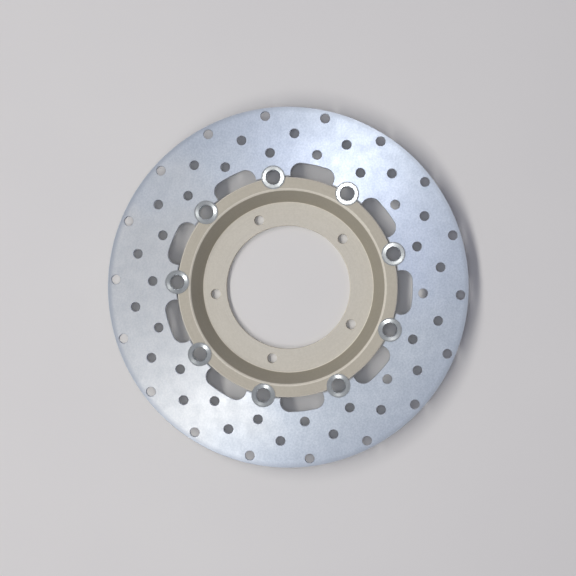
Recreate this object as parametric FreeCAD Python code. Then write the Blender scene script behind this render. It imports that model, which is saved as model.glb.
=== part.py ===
import FreeCAD, Part
import math
import os

# Floating brake disc of a motorcycle front wheel, in millimetres.
# Origin: centre of the face that bolts to the wheel hub. +Z points along the wheel axle, from that
# face towards the heads of the drive bobbins. +X passes through one bobbin and one wheel bolt hole.

# Layout along the axle
RING_THICKNESS = 5.0
FRONT_Z = 24.0                              # shared front face of the ring and the carrier rim
BACK_Z = FRONT_Z - RING_THICKNESS           # their shared back face
HUB_THICKNESS = 6.0

# Rotor ring
RING_OUTER_R = 152.5
RING_TAB_R = 94.0
RING_EDGE_BREAK = 0.4
TAB_FRONT_CHAMFER = 0.8
WINDOW_OUTER_R = 105.5
WINDOW_INNER_R = 88.0                       # well inside the tabs, so that each window is open inwards
WINDOW_HALF_ANGLE = 11.05
WINDOW_CORNER_R = 8.5
WINDOW_EDGE_BREAK = 0.3

# Drilled holes: three rows, the middle one half a pitch round from the other two
DRILL_R = 4.0
DRILL_CHAMFER = 0.3
DRILLS_PER_ROW = 18
DRILL_ROW_RADII = (114.4, 130.0, 145.8)
DRILL_ROW_OFFSETS = (0.0, 0.5, 0.0)

# Drive bobbins on the split line between ring and carrier
BOBBINS = 9
BOBBIN_CIRCLE_R = 93.5
BARREL_R = 7.5
BOBBIN_BORE_R = 6.0
BARREL_END_Z = 14.6
BARREL_END_CHAMFER = 0.4
HEAD_R = 10.0
HEAD_HEIGHT = 1.8
HEAD_RIM_HEIGHT = 0.9
HEAD_CROWN_R = 9.0
HEAD_CROWN_HEIGHT = 1.6
HEAD_LIP_R = 6.4
HEAD_LIP_DEPTH = 0.4
CARRIER_SLOT_CLEARANCE = 0.05               # the bobbin turns in the carrier's half slot
RING_SLOT_CLEARANCE = 0.15                  # the ring has a little more, for its lash

# Retaining parts behind each bobbin, from the ring backwards
STACK_GAP = 0.01
WAVE_HEIGHT = 0.9
WAVE_THICKNESS = 0.4
WAVE_INNER_R = 7.8
WAVE_OUTER_R = 9.3
WAVES = 3
WAVE_SAMPLES = 36
FLAT_INNER_R = 7.6
FLAT_OUTER_R = 9.4
FLAT_THICKNESS = 1.0
FLAT_EDGE_BREAK = 0.15
CLIP_THICKNESS = 1.0
CLIP_GROOVE_WIDTH = 1.1
CLIP_GROOVE_R = 7.1
CLIP_INNER_R = 7.15
CLIP_OUTER_R = 8.95
CLIP_SHIFT = 0.35                           # the band is eccentric: widest opposite its gap
CLIP_LUG_R = 1.7
CLIP_LUG_CENTRE_R = 8.7
CLIP_LUG_ANGLE = 17.0
CLIP_LUG_HOLE_R = 0.85
CLIP_GAP_WIDTH = 2.4

# Carrier
CARRIER_OUTER_R = 93.0
CARRIER_BORE_R = 53.0
DISH_FOOT_R = 73.0
DISH_MOUTH_R = 82.6
DISH_WALL = 4.0
DISH_MOUTH_FILLET = 3.0
DISH_FOOT_FILLET = 1.0
BACK_CORNER_FILLET = 1.0
HUB_EDGE_FILLET = 0.8
RIM_FRONT_CHAMFER = 0.8
RIM_BACK_CHAMFER = 0.5
BORE_LEAD_IN = 1.0
BORE_FRONT_CHAMFER = 0.5
SPOT_FACE_R = 10.2
SPOT_FACE_DEPTH = 5.0
WHEEL_BOLTS = 5
WHEEL_BOLT_CIRCLE_R = 62.5
WHEEL_BOLT_HOLE_R = 4.25
WHEEL_BOLT_CHAMFER = 0.4

FULL_TURN = 360.0
OVERRUN = 1.0                               # how far a cutting tool runs past the face it leaves
TOLERANCE = 1e-4
Z_AXIS = FreeCAD.Vector(0, 0, 1)
ORIGIN = FreeCAD.Vector(0, 0, 0)


def polar(radius, degrees, z=0.0):
    """The point at this radius and angle round the axle."""
    angle = math.radians(degrees)
    return FreeCAD.Vector(radius * math.cos(angle), radius * math.sin(angle), z)


def turned(shape, degrees, centre=ORIGIN):
    """A copy of the shape, turned round an axis along the axle."""
    copy = shape.copy()
    copy.rotate(centre, Z_AXIS, degrees)
    return copy


def moved(shape, vector):
    """A copy of the shape, shifted."""
    copy = shape.copy()
    copy.translate(vector)
    return copy


def round_the_disc(shape, count, start=0.0):
    """Copies of a shape, evenly spaced round the axle."""
    return [turned(shape, start + FULL_TURN * i / count) for i in range(count)]


def lathe(points):
    """The solid of revolution of a closed outline of (radius, z) points."""
    outline = [FreeCAD.Vector(radius, 0, z) for radius, z in points]
    face = Part.Face(Part.makePolygon(outline + outline[:1]))
    return face.revolve(ORIGIN, Z_AXIS, FULL_TURN)


def plug(radius, low_z, high_z, centre=ORIGIN):
    """A cylinder between two heights."""
    base = FreeCAD.Vector(centre.x, centre.y, low_z)
    return Part.makeCylinder(radius, high_z - low_z, base)


def chamfered_drill(radius, chamfer, low_z, high_z, centre):
    """A drill with a countersink at both faces of a plate."""
    low = FreeCAD.Vector(centre.x, centre.y, low_z)
    high = FreeCAD.Vector(centre.x, centre.y, high_z)
    sink = radius + chamfer
    tools = [plug(radius, low_z - OVERRUN, high_z + OVERRUN, centre)]
    tools.append(Part.makeCone(sink, radius, chamfer, low))
    tools.append(Part.makeCone(sink, radius, chamfer, high, FreeCAD.Vector(0, 0, -1)))
    return tools[0].fuse(tools[1:])


def circle_edges(shape, radius, z):
    """The full circular edges of a turned solid at this radius and height."""
    found = []
    for edge in shape.Edges:
        if not isinstance(edge.Curve, Part.Circle):
            continue
        if abs(edge.Curve.Radius - radius) < TOLERANCE and abs(edge.Curve.Center.z - z) < TOLERANCE:
            found.append(edge)
    return found


def window_outline(grow, z):
    """The outline of one window on +X, grown outwards by a small amount."""
    arc_r = WINDOW_OUTER_R - WINDOW_CORNER_R
    lean = math.degrees(math.asin(WINDOW_CORNER_R / arc_r))
    corner_angle = WINDOW_HALF_ANGLE - lean
    along_side = arc_r * math.cos(math.radians(lean))
    corner_r = WINDOW_CORNER_R + grow
    outer_r = WINDOW_OUTER_R + grow
    corner_mid = (corner_angle + WINDOW_HALF_ANGLE + 90.0) / 2
    half = {}
    for side in (1, -1):
        push = polar(grow, side * (WINDOW_HALF_ANGLE + 90.0))
        centre = polar(arc_r, side * corner_angle, z)
        half[side] = {
            "inner": polar(WINDOW_INNER_R, side * WINDOW_HALF_ANGLE, z) + push,
            "straight_end": polar(along_side, side * WINDOW_HALF_ANGLE, z) + push,
            "corner": centre + polar(corner_r, side * corner_mid),
            "arc_end": polar(outer_r, side * corner_angle, z),
        }
    left, right = half[1], half[-1]
    middle = polar(outer_r, 0.0, z)
    edges = [
        Part.makeLine(right["inner"], right["straight_end"]),
        Part.Arc(right["straight_end"], right["corner"], right["arc_end"]).toShape(),
        Part.Arc(right["arc_end"], middle, left["arc_end"]).toShape(),
        Part.Arc(left["arc_end"], left["corner"], left["straight_end"]).toShape(),
        Part.makeLine(left["straight_end"], left["inner"]),
        Part.makeLine(left["inner"], right["inner"]),
    ]
    return Part.Wire(edges)


def window_cutter():
    """The tool for one window, which also breaks the window's edges on both faces."""
    low = BACK_Z - OVERRUN
    height = RING_THICKNESS + 2 * OVERRUN
    prism = Part.Face(window_outline(0.0, low)).extrude(FreeCAD.Vector(0, 0, height))
    slope = OVERRUN + WINDOW_EDGE_BREAK
    flares = []
    for face_z, outward in ((FRONT_Z, 1), (BACK_Z, -1)):
        narrow = window_outline(0.0, face_z - outward * WINDOW_EDGE_BREAK)
        wide = window_outline(slope, face_z + outward * OVERRUN)
        flares.append(Part.makeLoft([narrow, wide], True, True))
    return prism.fuse(flares)


def ring_blank():
    """The plain ring, with its edges broken and its inner front edge chamfered."""
    inner, outer = RING_TAB_R, RING_OUTER_R
    edge = RING_EDGE_BREAK
    return lathe([
        (inner + edge, BACK_Z),
        (outer - edge, BACK_Z),
        (outer, BACK_Z + edge),
        (outer, FRONT_Z - edge),
        (outer - edge, FRONT_Z),
        (inner + TAB_FRONT_CHAMFER, FRONT_Z),
        (inner, FRONT_Z - TAB_FRONT_CHAMFER),
        (inner, BACK_Z + edge),
    ])


def rotor_ring():
    """The ring that the pads grip: windows between its tabs, half slots in them, drilled holes."""
    tools = round_the_disc(window_cutter(), BOBBINS, FULL_TURN / BOBBINS / 2)
    slot = plug(
        BARREL_R + RING_SLOT_CLEARANCE, BACK_Z - OVERRUN, FRONT_Z + OVERRUN, polar(BOBBIN_CIRCLE_R, 0)
    )
    tools += round_the_disc(slot, BOBBINS)
    pitch = FULL_TURN / DRILLS_PER_ROW
    for radius, offset in zip(DRILL_ROW_RADII, DRILL_ROW_OFFSETS):
        drill = chamfered_drill(DRILL_R, DRILL_CHAMFER, BACK_Z, FRONT_Z, polar(radius, 0))
        tools += round_the_disc(drill, DRILLS_PER_ROW, offset * pitch)
    return ring_blank().cut(tools)


def carrier_blank():
    """The turned carrier: hub flange, conical dish wall and outer rim."""
    wall_run = (DISH_MOUTH_R - DISH_FOOT_R) / (FRONT_Z - HUB_THICKNESS)
    wall_width = DISH_WALL * math.hypot(1.0, wall_run)

    def back_cone_r(z):
        return DISH_FOOT_R + (z - HUB_THICKNESS) * wall_run + wall_width

    blank = lathe([
        (CARRIER_BORE_R, 0.0),
        (back_cone_r(0.0), 0.0),
        (back_cone_r(BACK_Z), BACK_Z),
        (CARRIER_OUTER_R, BACK_Z),
        (CARRIER_OUTER_R, FRONT_Z),
        (DISH_MOUTH_R, FRONT_Z),
        (DISH_FOOT_R, HUB_THICKNESS),
        (CARRIER_BORE_R, HUB_THICKNESS),
    ])
    fillets = (
        (DISH_MOUTH_FILLET, DISH_MOUTH_R, FRONT_Z),
        (DISH_FOOT_FILLET, DISH_FOOT_R, HUB_THICKNESS),
        (BACK_CORNER_FILLET, back_cone_r(BACK_Z), BACK_Z),
        (HUB_EDGE_FILLET, back_cone_r(0.0), 0.0),
    )
    for size, radius, z in fillets:
        blank = blank.makeFillet(size, circle_edges(blank, radius, z))
    chamfers = (
        (RIM_FRONT_CHAMFER, CARRIER_OUTER_R, FRONT_Z),
        (RIM_BACK_CHAMFER, CARRIER_OUTER_R, BACK_Z),
        (BORE_LEAD_IN, CARRIER_BORE_R, 0.0),
        (BORE_FRONT_CHAMFER, CARRIER_BORE_R, HUB_THICKNESS),
    )
    for size, radius, z in chamfers:
        blank = blank.makeChamfer(size, circle_edges(blank, radius, z))
    return blank


def carrier():
    """The carrier, with wheel bolt holes, half slots for the bobbins and spot faces behind them."""
    on_line = polar(BOBBIN_CIRCLE_R, 0)
    slot = plug(BARREL_R + CARRIER_SLOT_CLEARANCE, BACK_Z - OVERRUN, FRONT_Z + OVERRUN, on_line)
    spot_face = plug(SPOT_FACE_R, BACK_Z - SPOT_FACE_DEPTH, BACK_Z, on_line)
    bolt_hole = chamfered_drill(
        WHEEL_BOLT_HOLE_R, WHEEL_BOLT_CHAMFER, 0.0, HUB_THICKNESS, polar(WHEEL_BOLT_CIRCLE_R, 0)
    )
    tools = round_the_disc(slot, BOBBINS)
    tools += round_the_disc(spot_face, BOBBINS)
    tools += round_the_disc(bolt_hole, WHEEL_BOLTS)
    return carrier_blank().cut(tools)


def flat_washer_top():
    """The height of the flat washer's face towards the wave washer."""
    return BACK_Z - WAVE_HEIGHT - 2 * STACK_GAP


def drive_bobbin():
    """A hollow flanged bobbin: turned head, barrel and circlip groove. Modelled round the axle."""
    clip_top = flat_washer_top() - FLAT_THICKNESS
    groove_top = clip_top + (CLIP_GROOVE_WIDTH - CLIP_THICKNESS) / 2
    groove_low = groove_top - CLIP_GROOVE_WIDTH
    chamfer = BARREL_END_CHAMFER
    return lathe([
        (BOBBIN_BORE_R, BARREL_END_Z),
        (BARREL_R - chamfer, BARREL_END_Z),
        (BARREL_R, BARREL_END_Z + chamfer),
        (BARREL_R, groove_low),
        (CLIP_GROOVE_R, groove_low),
        (CLIP_GROOVE_R, groove_top),
        (BARREL_R, groove_top),
        (BARREL_R, FRONT_Z),
        (HEAD_R, FRONT_Z),
        (HEAD_R, FRONT_Z + HEAD_RIM_HEIGHT),
        (HEAD_CROWN_R, FRONT_Z + HEAD_CROWN_HEIGHT),
        (HEAD_LIP_R, FRONT_Z + HEAD_HEIGHT),
        (BOBBIN_BORE_R, FRONT_Z + HEAD_HEIGHT - HEAD_LIP_DEPTH),
    ])


def wave_edge(radius, top_z):
    """One closed edge of the wave washer: a circle that rises and falls as it goes round."""
    swing = (WAVE_HEIGHT - WAVE_THICKNESS) / 2
    points = []
    for i in range(WAVE_SAMPLES):
        degrees = FULL_TURN * i / WAVE_SAMPLES
        drop = swing * (1.0 - math.cos(math.radians(WAVES * degrees)))
        points.append(polar(radius, degrees, top_z - drop))
    curve = Part.BSplineCurve()
    curve.interpolate(points, PeriodicFlag=True)
    return curve.toShape()


def wave_washer():
    """The spring washer between the back of the ring and the flat washer, as it sits when fitted."""
    top = BACK_Z - STACK_GAP
    face = Part.makeRuledSurface(wave_edge(WAVE_INNER_R, top), wave_edge(WAVE_OUTER_R, top))
    return face.extrude(FreeCAD.Vector(0, 0, -WAVE_THICKNESS))


def flat_washer():
    """The flat washer that the circlip holds."""
    top = flat_washer_top()
    low = top - FLAT_THICKNESS
    edge = FLAT_EDGE_BREAK
    return lathe([
        (FLAT_INNER_R, low),
        (FLAT_OUTER_R - edge, low),
        (FLAT_OUTER_R, low + edge),
        (FLAT_OUTER_R, top - edge),
        (FLAT_OUTER_R - edge, top),
        (FLAT_INNER_R, top),
    ])


def circlip():
    """An external circlip with two pierced lugs. Its gap faces the rim of the disc."""
    top = flat_washer_top() - FLAT_THICKNESS
    low = top - CLIP_THICKNESS
    band = plug(CLIP_OUTER_R, low, top, FreeCAD.Vector(-CLIP_SHIFT, 0, 0))
    lugs, holes = [], []
    for side in (1, -1):
        centre = polar(CLIP_LUG_CENTRE_R, side * CLIP_LUG_ANGLE)
        lugs.append(plug(CLIP_LUG_R, low, top, centre))
        holes.append(plug(CLIP_LUG_HOLE_R, low - OVERRUN, top + OVERRUN, centre))
    reach = CLIP_LUG_CENTRE_R + CLIP_LUG_R + OVERRUN
    gap_corner = FreeCAD.Vector(0, -CLIP_GAP_WIDTH / 2, low - OVERRUN)
    gap = Part.makeBox(reach, CLIP_GAP_WIDTH, CLIP_THICKNESS + 2 * OVERRUN, gap_corner)
    middle = plug(CLIP_INNER_R, low - OVERRUN, top + OVERRUN)
    return band.fuse(lugs).cut(holes + [gap, middle])


def save(name, shape):
    """Writes one node, after checking that it is a sound solid."""
    solids = shape.Solids
    if len(solids) != 1 or not shape.isValid() or solids[0].Volume <= 0:
        raise ValueError(name + " is not one sound solid")
    solids[0].exportStep(os.path.join("parts", name + ".step"))
    print(name, round(solids[0].Volume, 1), "mm3")


def main():
    os.makedirs("parts", exist_ok=True)
    save("rotor_ring", rotor_ring())
    save("carrier", carrier())
    fittings = {
        "drive_bobbin": drive_bobbin(),
        "wave_washer": wave_washer(),
        "flat_washer": flat_washer(),
        "circlip": circlip(),
    }
    for name, shape in fittings.items():
        on_line = moved(shape, polar(BOBBIN_CIRCLE_R, 0))
        for number, copy in enumerate(round_the_disc(on_line, BOBBINS), start=1):
            save(name + "_" + str(number), copy)


main()
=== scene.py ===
import bpy
import math
from mathutils import Matrix, Vector


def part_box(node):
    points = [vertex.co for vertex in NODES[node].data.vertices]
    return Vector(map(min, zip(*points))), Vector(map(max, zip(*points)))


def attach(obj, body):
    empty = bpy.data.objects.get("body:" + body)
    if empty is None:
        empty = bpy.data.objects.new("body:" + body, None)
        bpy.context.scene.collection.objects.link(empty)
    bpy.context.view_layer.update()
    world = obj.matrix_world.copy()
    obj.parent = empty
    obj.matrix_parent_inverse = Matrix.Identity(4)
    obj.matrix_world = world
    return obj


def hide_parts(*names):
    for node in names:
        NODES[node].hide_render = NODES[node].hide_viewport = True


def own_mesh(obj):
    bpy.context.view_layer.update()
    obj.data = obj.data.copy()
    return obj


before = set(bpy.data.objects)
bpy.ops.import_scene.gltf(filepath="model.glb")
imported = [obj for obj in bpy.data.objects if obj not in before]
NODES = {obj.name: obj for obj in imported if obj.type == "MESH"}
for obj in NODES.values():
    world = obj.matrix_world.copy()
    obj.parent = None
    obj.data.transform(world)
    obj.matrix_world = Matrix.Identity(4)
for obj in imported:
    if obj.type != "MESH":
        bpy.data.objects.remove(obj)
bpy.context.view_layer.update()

MM = 0.001

# Front face and outer radius of the ring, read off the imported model
FACE_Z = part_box("rotor_ring")[1].z
RIM_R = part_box("rotor_ring")[1].x

# The disc lies on its hub face. The camera stands above it, rolled so that the row's +X axis
# points down and a little to the left in the picture.
ROLL = math.radians(257.4)
IMAGE_RIGHT = Vector((math.cos(-ROLL), math.sin(-ROLL), 0.0))
IMAGE_UP = Vector((math.cos(math.radians(90.0) - ROLL), math.sin(math.radians(90.0) - ROLL), 0.0))


def in_picture(right, up, height):
    """A point given along the picture's right and up directions and above the floor."""
    return IMAGE_RIGHT * right + IMAGE_UP * up + Vector((0.0, 0.0, height))


# ---------------------------------------------------------------- camera, lights and floor

# The room as gloss sees it, overhead and at the horizon, and as the diffuse light sees it
CEILING = (0.79, 0.81, 0.855)
ROOM_LOW = (0.24, 0.24, 0.25)
ROOM_SOFT = (0.112, 0.106, 0.142)

# The camera leans a little to the picture's right, as the photograph's does
CAMERA_PLACE = in_picture(0.042, 0.0, FACE_Z + 1.1)
CAMERA_TARGET = in_picture(0.0005, -0.0007, FACE_Z)


def make_camera():
    data = bpy.data.cameras.new("camera")
    data.sensor_width = 36.0
    data.lens = 81.5
    data.clip_end = 20.0
    camera = bpy.data.objects.new("camera", data)
    bpy.context.scene.collection.objects.link(camera)
    back = (CAMERA_PLACE - CAMERA_TARGET).normalized()
    up = (IMAGE_UP - back * IMAGE_UP.dot(back)).normalized()
    right = up.cross(back)
    turn = Matrix((right, up, back)).transposed().to_4x4()
    camera.matrix_world = Matrix.Translation(CAMERA_PLACE) @ turn
    bpy.context.scene.camera = camera


def area_light(name, place, size, power, colour):
    """A soft rectangular light aimed at the middle of the disc; its width lies level."""
    data = bpy.data.lights.new(name, "AREA")
    data.shape = "RECTANGLE"
    data.size, data.size_y = size
    data.energy = power
    data.color = colour
    light = bpy.data.objects.new(name, data)
    bpy.context.scene.collection.objects.link(light)
    light.location = place
    light.rotation_mode = "QUATERNION"
    light.rotation_quaternion = (place - Vector((0.0, 0.0, FACE_Z))).to_track_quat("Z", "Y")
    return light


def make_lights():
    """A small lamp that makes the bright lobes, a long window at the left and a box overhead."""
    lamp = area_light("near_lamp", in_picture(0.0499, 0.1966, FACE_Z + 1.319),
                      (0.066, 0.066), 3.5, (1.0, 0.99, 0.96))
    lamp.visible_diffuse = False
    window = area_light("window", in_picture(-1.17, -0.154, 2.47),
                        (3.6, 0.4), 49.0, (1.0, 0.98, 0.95))
    window.visible_glossy = False
    overhead = area_light("overhead", in_picture(0.0, 0.0, 1.3),
                          (0.35, 0.35), 2.3, (0.90, 0.94, 1.0))
    overhead.visible_glossy = False


class Graph:
    """A short way to write shader nodes: each call adds one node and returns an output of it."""

    def __init__(self, tree):
        self.tree = tree

    def add(self, kind, **settings):
        node = self.tree.nodes.new("ShaderNode" + kind)
        for name, value in settings.items():
            setattr(node, name, value)
        return node

    def put(self, socket, value):
        """Links an output into a socket, or sets the socket's own value."""
        if isinstance(value, bpy.types.NodeSocket):
            self.tree.links.new(value, socket)
        else:
            socket.default_value = value

    def math(self, operation, a, b=0.0, clamp=False):
        node = self.add("Math", operation=operation, use_clamp=clamp)
        self.put(node.inputs[0], a)
        self.put(node.inputs[1], b)
        return node.outputs[0]

    def vector(self, operation, a, b=(0.0, 0.0, 0.0)):
        node = self.add("VectorMath", operation=operation)
        self.put(node.inputs[0], a)
        self.put(node.inputs[1], b)
        return node.outputs["Value" if operation == "LENGTH" else "Vector"]

    def split(self, vector):
        node = self.add("SeparateXYZ")
        self.put(node.inputs[0], vector)
        return node.outputs

    def join(self, x, y, z):
        node = self.add("CombineXYZ")
        for socket, value in zip(node.inputs, (x, y, z)):
            self.put(socket, value)
        return node.outputs[0]

    def noise(self, vector, scale, detail=2.0, roughness=0.5):
        node = self.add("TexNoise")
        self.put(node.inputs["Vector"], vector)
        node.inputs["Scale"].default_value = scale
        node.inputs["Detail"].default_value = detail
        node.inputs["Roughness"].default_value = roughness
        return node.outputs["Fac"]

    def spread(self, value, low, high, to_low=0.0, to_high=1.0):
        """Maps a range of values smoothly onto another."""
        node = self.add("MapRange", interpolation_type="SMOOTHSTEP")
        for socket, number in zip(("Value", "From Min", "From Max", "To Min", "To Max"),
                                  (value, low, high, to_low, to_high)):
            self.put(node.inputs[socket], number)
        return node.outputs[0]

    def mix(self, factor, a, b, blend="MIX"):
        node = self.add("Mix", data_type="RGBA", blend_type=blend)
        self.put(node.inputs["Factor"], factor)
        self.put(node.inputs[6], (*a, 1.0) if isinstance(a, tuple) else a)
        self.put(node.inputs[7], (*b, 1.0) if isinstance(b, tuple) else b)
        return node.outputs[2]

    def bump(self, height, depth, strength=1.0, normal=None):
        node = self.add("Bump")
        self.put(node.inputs["Height"], height)
        node.inputs["Distance"].default_value = depth
        node.inputs["Strength"].default_value = strength
        if normal is not None:
            self.put(node.inputs["Normal"], normal)
        return node.outputs[0]


def new_material(name):
    material = bpy.data.materials.new(name)
    material.use_nodes = True
    graph = Graph(material.node_tree)
    return material, graph, material.node_tree.nodes["Principled BSDF"]


def make_world():
    """A plain room with a ceiling that is bright overhead, and dimmer for diffuse light."""
    world = bpy.data.worlds.new("studio")
    bpy.context.scene.world = world
    world.use_nodes = True
    graph = Graph(world.node_tree)
    background = world.node_tree.nodes["Background"]
    direction = graph.add("TexCoord").outputs["Generated"]
    height = graph.split(direction)[2]
    ceiling = graph.mix(graph.spread(height, 0.15, 1.0), ROOM_LOW, CEILING)
    is_diffuse = graph.add("LightPath").outputs["Is Diffuse Ray"]
    graph.put(background.inputs["Color"], graph.mix(is_diffuse, ceiling, ROOM_SOFT))
    background.inputs["Strength"].default_value = 1.0


def make_floor():
    data = bpy.data.meshes.new("floor")
    half = 9.0
    data.from_pydata([(-half, -half, 0), (half, -half, 0), (half, half, 0), (-half, half, 0)],
                     [], [(0, 1, 2, 3)])
    floor = bpy.data.objects.new("floor", data)
    bpy.context.scene.collection.objects.link(floor)
    material, graph, shader = new_material("floor_paper")
    place = graph.add("TexCoord").outputs["Object"]
    grain = graph.noise(place, 900.0, 3.0)
    cloud = graph.noise(place, 6.0, 2.0)
    graph.put(shader.inputs["Base Color"], graph.mix(cloud, (0.80, 0.79, 0.78), (0.84, 0.83, 0.81)))
    shader.inputs["Roughness"].default_value = 0.9
    shader.inputs["Specular IOR Level"].default_value = 0.2
    graph.put(shader.inputs["Normal"], graph.bump(grain, 0.05 * MM, 0.5))
    data.materials.append(material)


# ---------------------------------------------------------------- metals

# The sides of the ring, as angles in the picture, where a painted reflection tint makes the plate
# plainest (window's side) and bluest (lamp's lobe side)
PAINTED_PLAIN_SIDE = math.radians(190.0)
PAINTED_BLUE_SIDE = math.radians(56.0)


def local_place(graph, node_name, origin_is_axle):
    """A point on the piece in metres, measured from the piece's own axis."""
    coordinates = graph.add("TexCoord")
    if origin_is_axle:
        return coordinates.outputs["Object"]
    low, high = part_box(node_name)
    middle = graph.vector("SUBTRACT", coordinates.outputs["Generated"], (0.5, 0.5, 0.0))
    return graph.vector("MULTIPLY", middle, tuple(high - low))


def turned_grain(graph, place, pitch, sweep):
    """Fine marks that run round the axis: noise that is stretched along the turning direction."""
    x, y, z = graph.split(place)
    radius = graph.vector("LENGTH", graph.join(x, y, 0.0))
    across = graph.math("DIVIDE", radius, pitch)
    along_x = graph.math("MULTIPLY", graph.math("DIVIDE", x, radius), sweep)
    along_y = graph.math("MULTIPLY", graph.math("DIVIDE", y, radius), sweep)
    depth = graph.math("DIVIDE", z, pitch)
    return radius, graph.join(along_x, along_y, graph.math("ADD", across, depth))


def radial_tangent(graph, shader, amount):
    """Turning marks run round the axis, so the gloss is spread across them, along the radius."""
    tangent = graph.add("Tangent", direction_type="RADIAL", axis="Z")
    graph.put(shader.inputs["Tangent"], tangent.outputs[0])
    shader.inputs["Anisotropic"].default_value = amount
    shader.inputs["Anisotropic Rotation"].default_value = 0.25


def flatness(graph):
    """One on faces square to the axle, falling to none on walls, chamfers in between."""
    normal = graph.add("TexCoord").outputs["Normal"]
    return graph.math("ABSOLUTE", graph.split(normal)[2])


def towards(graph, place, side):
    """How far a point lies towards one side of the disc: 1 on that side, -1 on the other."""
    facing = graph.add("VectorMath", operation="DOT_PRODUCT")
    graph.put(facing.inputs[0], graph.vector("NORMALIZE", place))
    graph.put(facing.inputs[1], tuple(in_picture(math.cos(side), math.sin(side), 0.0)))
    return facing.outputs["Value"]


def ring_material():
    """Bright zinc plate over ground steel, with a painted reflection tint: bluer where the lamp's bright
    lobe lies, plainer on the window's side.
    """
    material, graph, shader = new_material("ring_zinc")
    place = local_place(graph, "rotor_ring", True)
    radius, grain_place = turned_grain(graph, place, 0.45 * MM, 3.0)
    flat = graph.spread(flatness(graph), 0.75, 0.97)
    mottle = graph.noise(place, 110.0, 4.0, 0.6)
    cloud = graph.noise(place, 14.0, 2.0)
    grain = graph.noise(grain_place, 1.0, 4.0, 0.65)
    wander = graph.math("MULTIPLY", graph.math("SUBTRACT", cloud, 0.5), 0.8)
    # Painted reflection tint: the plate is made bluer on the lamp's lobe side and plainer on the
    # window's side
    painted_blue_tint = graph.spread(graph.math("ADD", towards(graph, place, PAINTED_BLUE_SIDE), wander), 0.2, 0.8)
    plain = graph.spread(graph.math("ADD", towards(graph, place, PAINTED_PLAIN_SIDE), wander), 0.2, 0.8)
    colour = graph.mix(painted_blue_tint, (0.635, 0.69, 0.765), (0.62, 0.69, 0.84))
    colour = graph.mix(plain, colour, (0.645, 0.66, 0.675))
    colour = graph.mix(graph.spread(grain, 0.25, 0.75, 0.0, 0.25), colour, (0.72, 0.75, 0.80))
    # Painted shade: the plate darkens towards the rim, except on the window's side
    towards_rim = graph.spread(radius, 0.72 * RIM_R, RIM_R, 0.0, 0.75)
    painted_rim_shade = graph.math("MULTIPLY", towards_rim, graph.math("SUBTRACT", 1.0, plain))
    colour = graph.mix(painted_rim_shade, colour, (0.50, 0.55, 0.635))
    speckle = graph.noise(place, 620.0, 3.0, 0.6)
    blotches = graph.spread(mottle, 0.3, 0.7, 0.0, 0.5)
    specks = graph.spread(speckle, 0.35, 0.65, 0.0, 1.0)
    # Fewer specks on the painted plain side, where the window's light falls
    fewer = graph.math("SUBTRACT", 1.0, graph.math("MULTIPLY", plain, 0.4))
    specks = graph.math("MULTIPLY", specks, fewer)
    colour = graph.mix(blotches, colour, (0.85, 0.87, 0.89), "MULTIPLY")
    colour = graph.mix(specks, colour, (0.85, 0.87, 0.89), "MULTIPLY")
    lengthwise = graph.vector("MULTIPLY", place, (45.0, 1500.0, 0.0))
    scratches = graph.spread(graph.noise(lengthwise, 1.0, 2.0, 0.55), 0.62, 0.70, 0.0, 0.45)
    scratches = graph.math("MULTIPLY", scratches, graph.spread(cloud, 0.48, 0.60))
    colour = graph.mix(scratches, colour, (0.80, 0.82, 0.84), "MULTIPLY")
    # Painted shade: a dark band along the ring's outer edge
    painted_edge_shade = graph.spread(radius, 0.965 * RIM_R, 0.998 * RIM_R, 0.0, 0.8)
    colour = graph.mix(painted_edge_shade, colour, (0.36, 0.40, 0.47))
    colour = graph.mix(flat, (0.60, 0.64, 0.70), colour)
    graph.put(shader.inputs["Base Color"], colour)
    shader.inputs["Metallic"].default_value = 0.5
    graph.put(shader.inputs["Roughness"], graph.spread(mottle, 0.2, 0.8, 0.39, 0.43))
    radial_tangent(graph, shader, 1.0)
    graph.put(shader.inputs["Normal"], graph.bump(grain, 0.003 * MM, 0.5))
    return material


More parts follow.
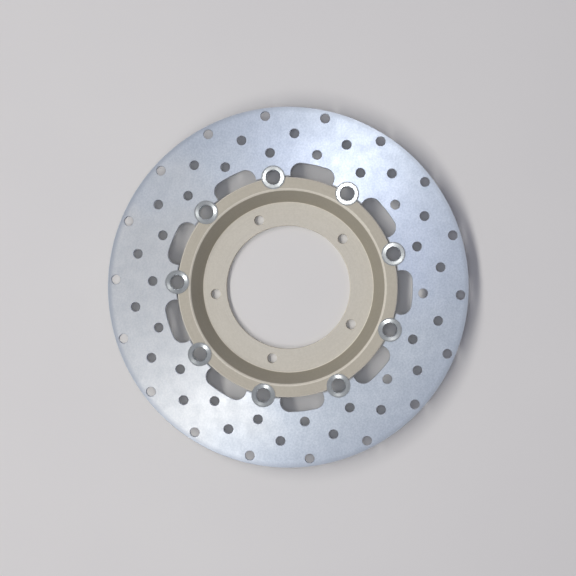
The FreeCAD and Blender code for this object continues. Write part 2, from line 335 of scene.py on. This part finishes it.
def carrier_material():
    """Satin champagne anodising, with the faces that clamp on the hub left machined. Steep faces such as
    the dish wall carry painted shade, and their rounded edges a painted highlight.
    """
    material, graph, shader = new_material("carrier_anodised")
    place = local_place(graph, "carrier", True)
    _, grain_place = turned_grain(graph, place, 0.7 * MM, 2.0)
    grain = graph.noise(grain_place, 1.0, 4.0, 0.6)
    speck = graph.noise(place, 1400.0, 2.0)
    cloud = graph.noise(place, 25.0, 3.0)
    height = graph.split(place)[2]
    hub = graph.math("SUBTRACT", 1.0, graph.spread(height, 5.2 * MM, 6.4 * MM))
    anodised = graph.mix(cloud, (0.53, 0.49, 0.405), (0.575, 0.535, 0.445))
    machined = graph.mix(cloud, (0.955, 0.935, 0.885), (0.98, 0.965, 0.925))
    colour = graph.mix(hub, anodised, machined)
    flat = flatness(graph)
    # Painted shade: steep faces such as the dish wall get a darker tone than the flat faces
    wall = graph.mix(cloud, (0.42, 0.387, 0.308), (0.455, 0.42, 0.34))
    colour = graph.mix(graph.spread(flat, 0.49, 0.6), wall, colour)
    # Painted highlight: fillets and chamfers between steep and flat faces are made lighter
    painted_fillet_highlight = graph.math("MULTIPLY", graph.spread(flat, 0.52, 0.64),
                         graph.spread(flat, 0.95, 0.99, 1.0, 0.0))
    colour = graph.mix(painted_fillet_highlight, colour, (0.87, 0.82, 0.705))
    colour = graph.mix(graph.spread(grain, 0.3, 0.7, 0.0, 0.6), colour, (0.92, 0.92, 0.91), "MULTIPLY")
    fleck = graph.noise(place, 560.0, 3.0, 0.6)
    colour = graph.mix(graph.spread(fleck, 0.35, 0.65, 0.0, 0.7), colour, (0.93, 0.93, 0.92), "MULTIPLY")
    graph.put(shader.inputs["Base Color"], colour)
    shader.inputs["Metallic"].default_value = 0.15
    graph.put(shader.inputs["Roughness"], graph.spread(speck, 0.2, 0.8, 0.52, 0.62))
    radial_tangent(graph, shader, 0.35)
    rough_face = graph.bump(speck, 0.006 * MM, 0.5)
    graph.put(shader.inputs["Normal"], graph.bump(grain, 0.008 * MM, 0.5, rough_face))
    return material


def turned_steel(name, node_name, light, dark, roughness, aniso, pitch,
                 metallic=1.0, edge=None, bore=None):
    """Small turned or stamped steel parts: a grain round their own axis and a cloudy plated tone.

    A bobbin's outer edge and its bore have tones of their own.
    """
    material, graph, shader = new_material(name)
    place = local_place(graph, node_name, False)
    radius, grain_place = turned_grain(graph, place, pitch, 1.5)
    grain = graph.noise(grain_place, 1.0, 3.0, 0.6)
    cloud = graph.noise(graph.add("TexCoord").outputs["Object"], 220.0, 3.0, 0.6)
    colour = graph.mix(graph.spread(cloud, 0.3, 0.7), light, dark)
    colour = graph.mix(graph.spread(grain, 0.3, 0.75, 0.0, 0.35), colour, dark)
    if bore is not None:
        wall = graph.mix(graph.spread(radius, 7.6 * MM, 8.4 * MM), bore, edge)
        colour = graph.mix(graph.spread(flatness(graph), 0.9, 0.99), wall, colour)
    graph.put(shader.inputs["Base Color"], colour)
    shader.inputs["Metallic"].default_value = metallic
    graph.put(shader.inputs["Roughness"],
              graph.spread(cloud, 0.2, 0.8, roughness - 0.04, roughness + 0.05))
    radial_tangent(graph, shader, aniso)
    graph.put(shader.inputs["Normal"], graph.bump(grain, 0.004 * MM, 0.6))
    return material


def press_wave_washers(finish):
    """The wave washers are springs: each is replaced by a copy with its own mesh on the wave_washers
    body, and the original is hidden.
    """
    for name in [name for name in NODES if name.startswith("wave_washer")]:
        node = NODES[name]
        washer = bpy.data.objects.new(name.replace("wave_washer", "wave_spring"), node.data.copy())
        bpy.context.scene.collection.objects.link(washer)
        washer.matrix_world = node.matrix_world
        washer.data.materials.clear()
        washer.data.materials.append(finish)
        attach(washer, "wave_washers")
        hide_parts(name)
        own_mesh(washer)


def finish_nodes():
    """Every node of the row gets the finish of what it is."""
    finishes = {
        "rotor_ring": ring_material(),
        "carrier": carrier_material(),
        "drive_bobbin": turned_steel("bobbin_zinc", "drive_bobbin_1",
                                     (0.365, 0.38, 0.385), (0.28, 0.292, 0.30), 0.295, 0.84,
                                     0.25 * MM, edge=(0.60, 0.62, 0.63), bore=(0.64, 0.67, 0.70)),
        "wave_washer": turned_steel("wave_spring_steel", "wave_washer_1",
                                    (0.42, 0.42, 0.43), (0.33, 0.33, 0.34), 0.34, 0.5, 0.12 * MM),
        "flat_washer": turned_steel("washer_zinc", "flat_washer_1",
                                    (0.60, 0.61, 0.60), (0.50, 0.51, 0.49), 0.42, 0.4, 0.15 * MM),
        "circlip": turned_steel("circlip_phosphate", "circlip_1",
                                (0.10, 0.10, 0.105), (0.055, 0.055, 0.06), 0.5, 0.0, 0.10 * MM, 0.6),
    }
    for name, node in NODES.items():
        kind = name.rstrip("0123456789").rstrip("_")
        for slot in node.material_slots:
            slot.material = finishes[kind]
    press_wave_washers(finishes["wave_washer"])


make_camera()
make_world()
make_floor()
make_lights()
finish_nodes()
bpy.context.scene.view_settings.view_transform = "Standard"
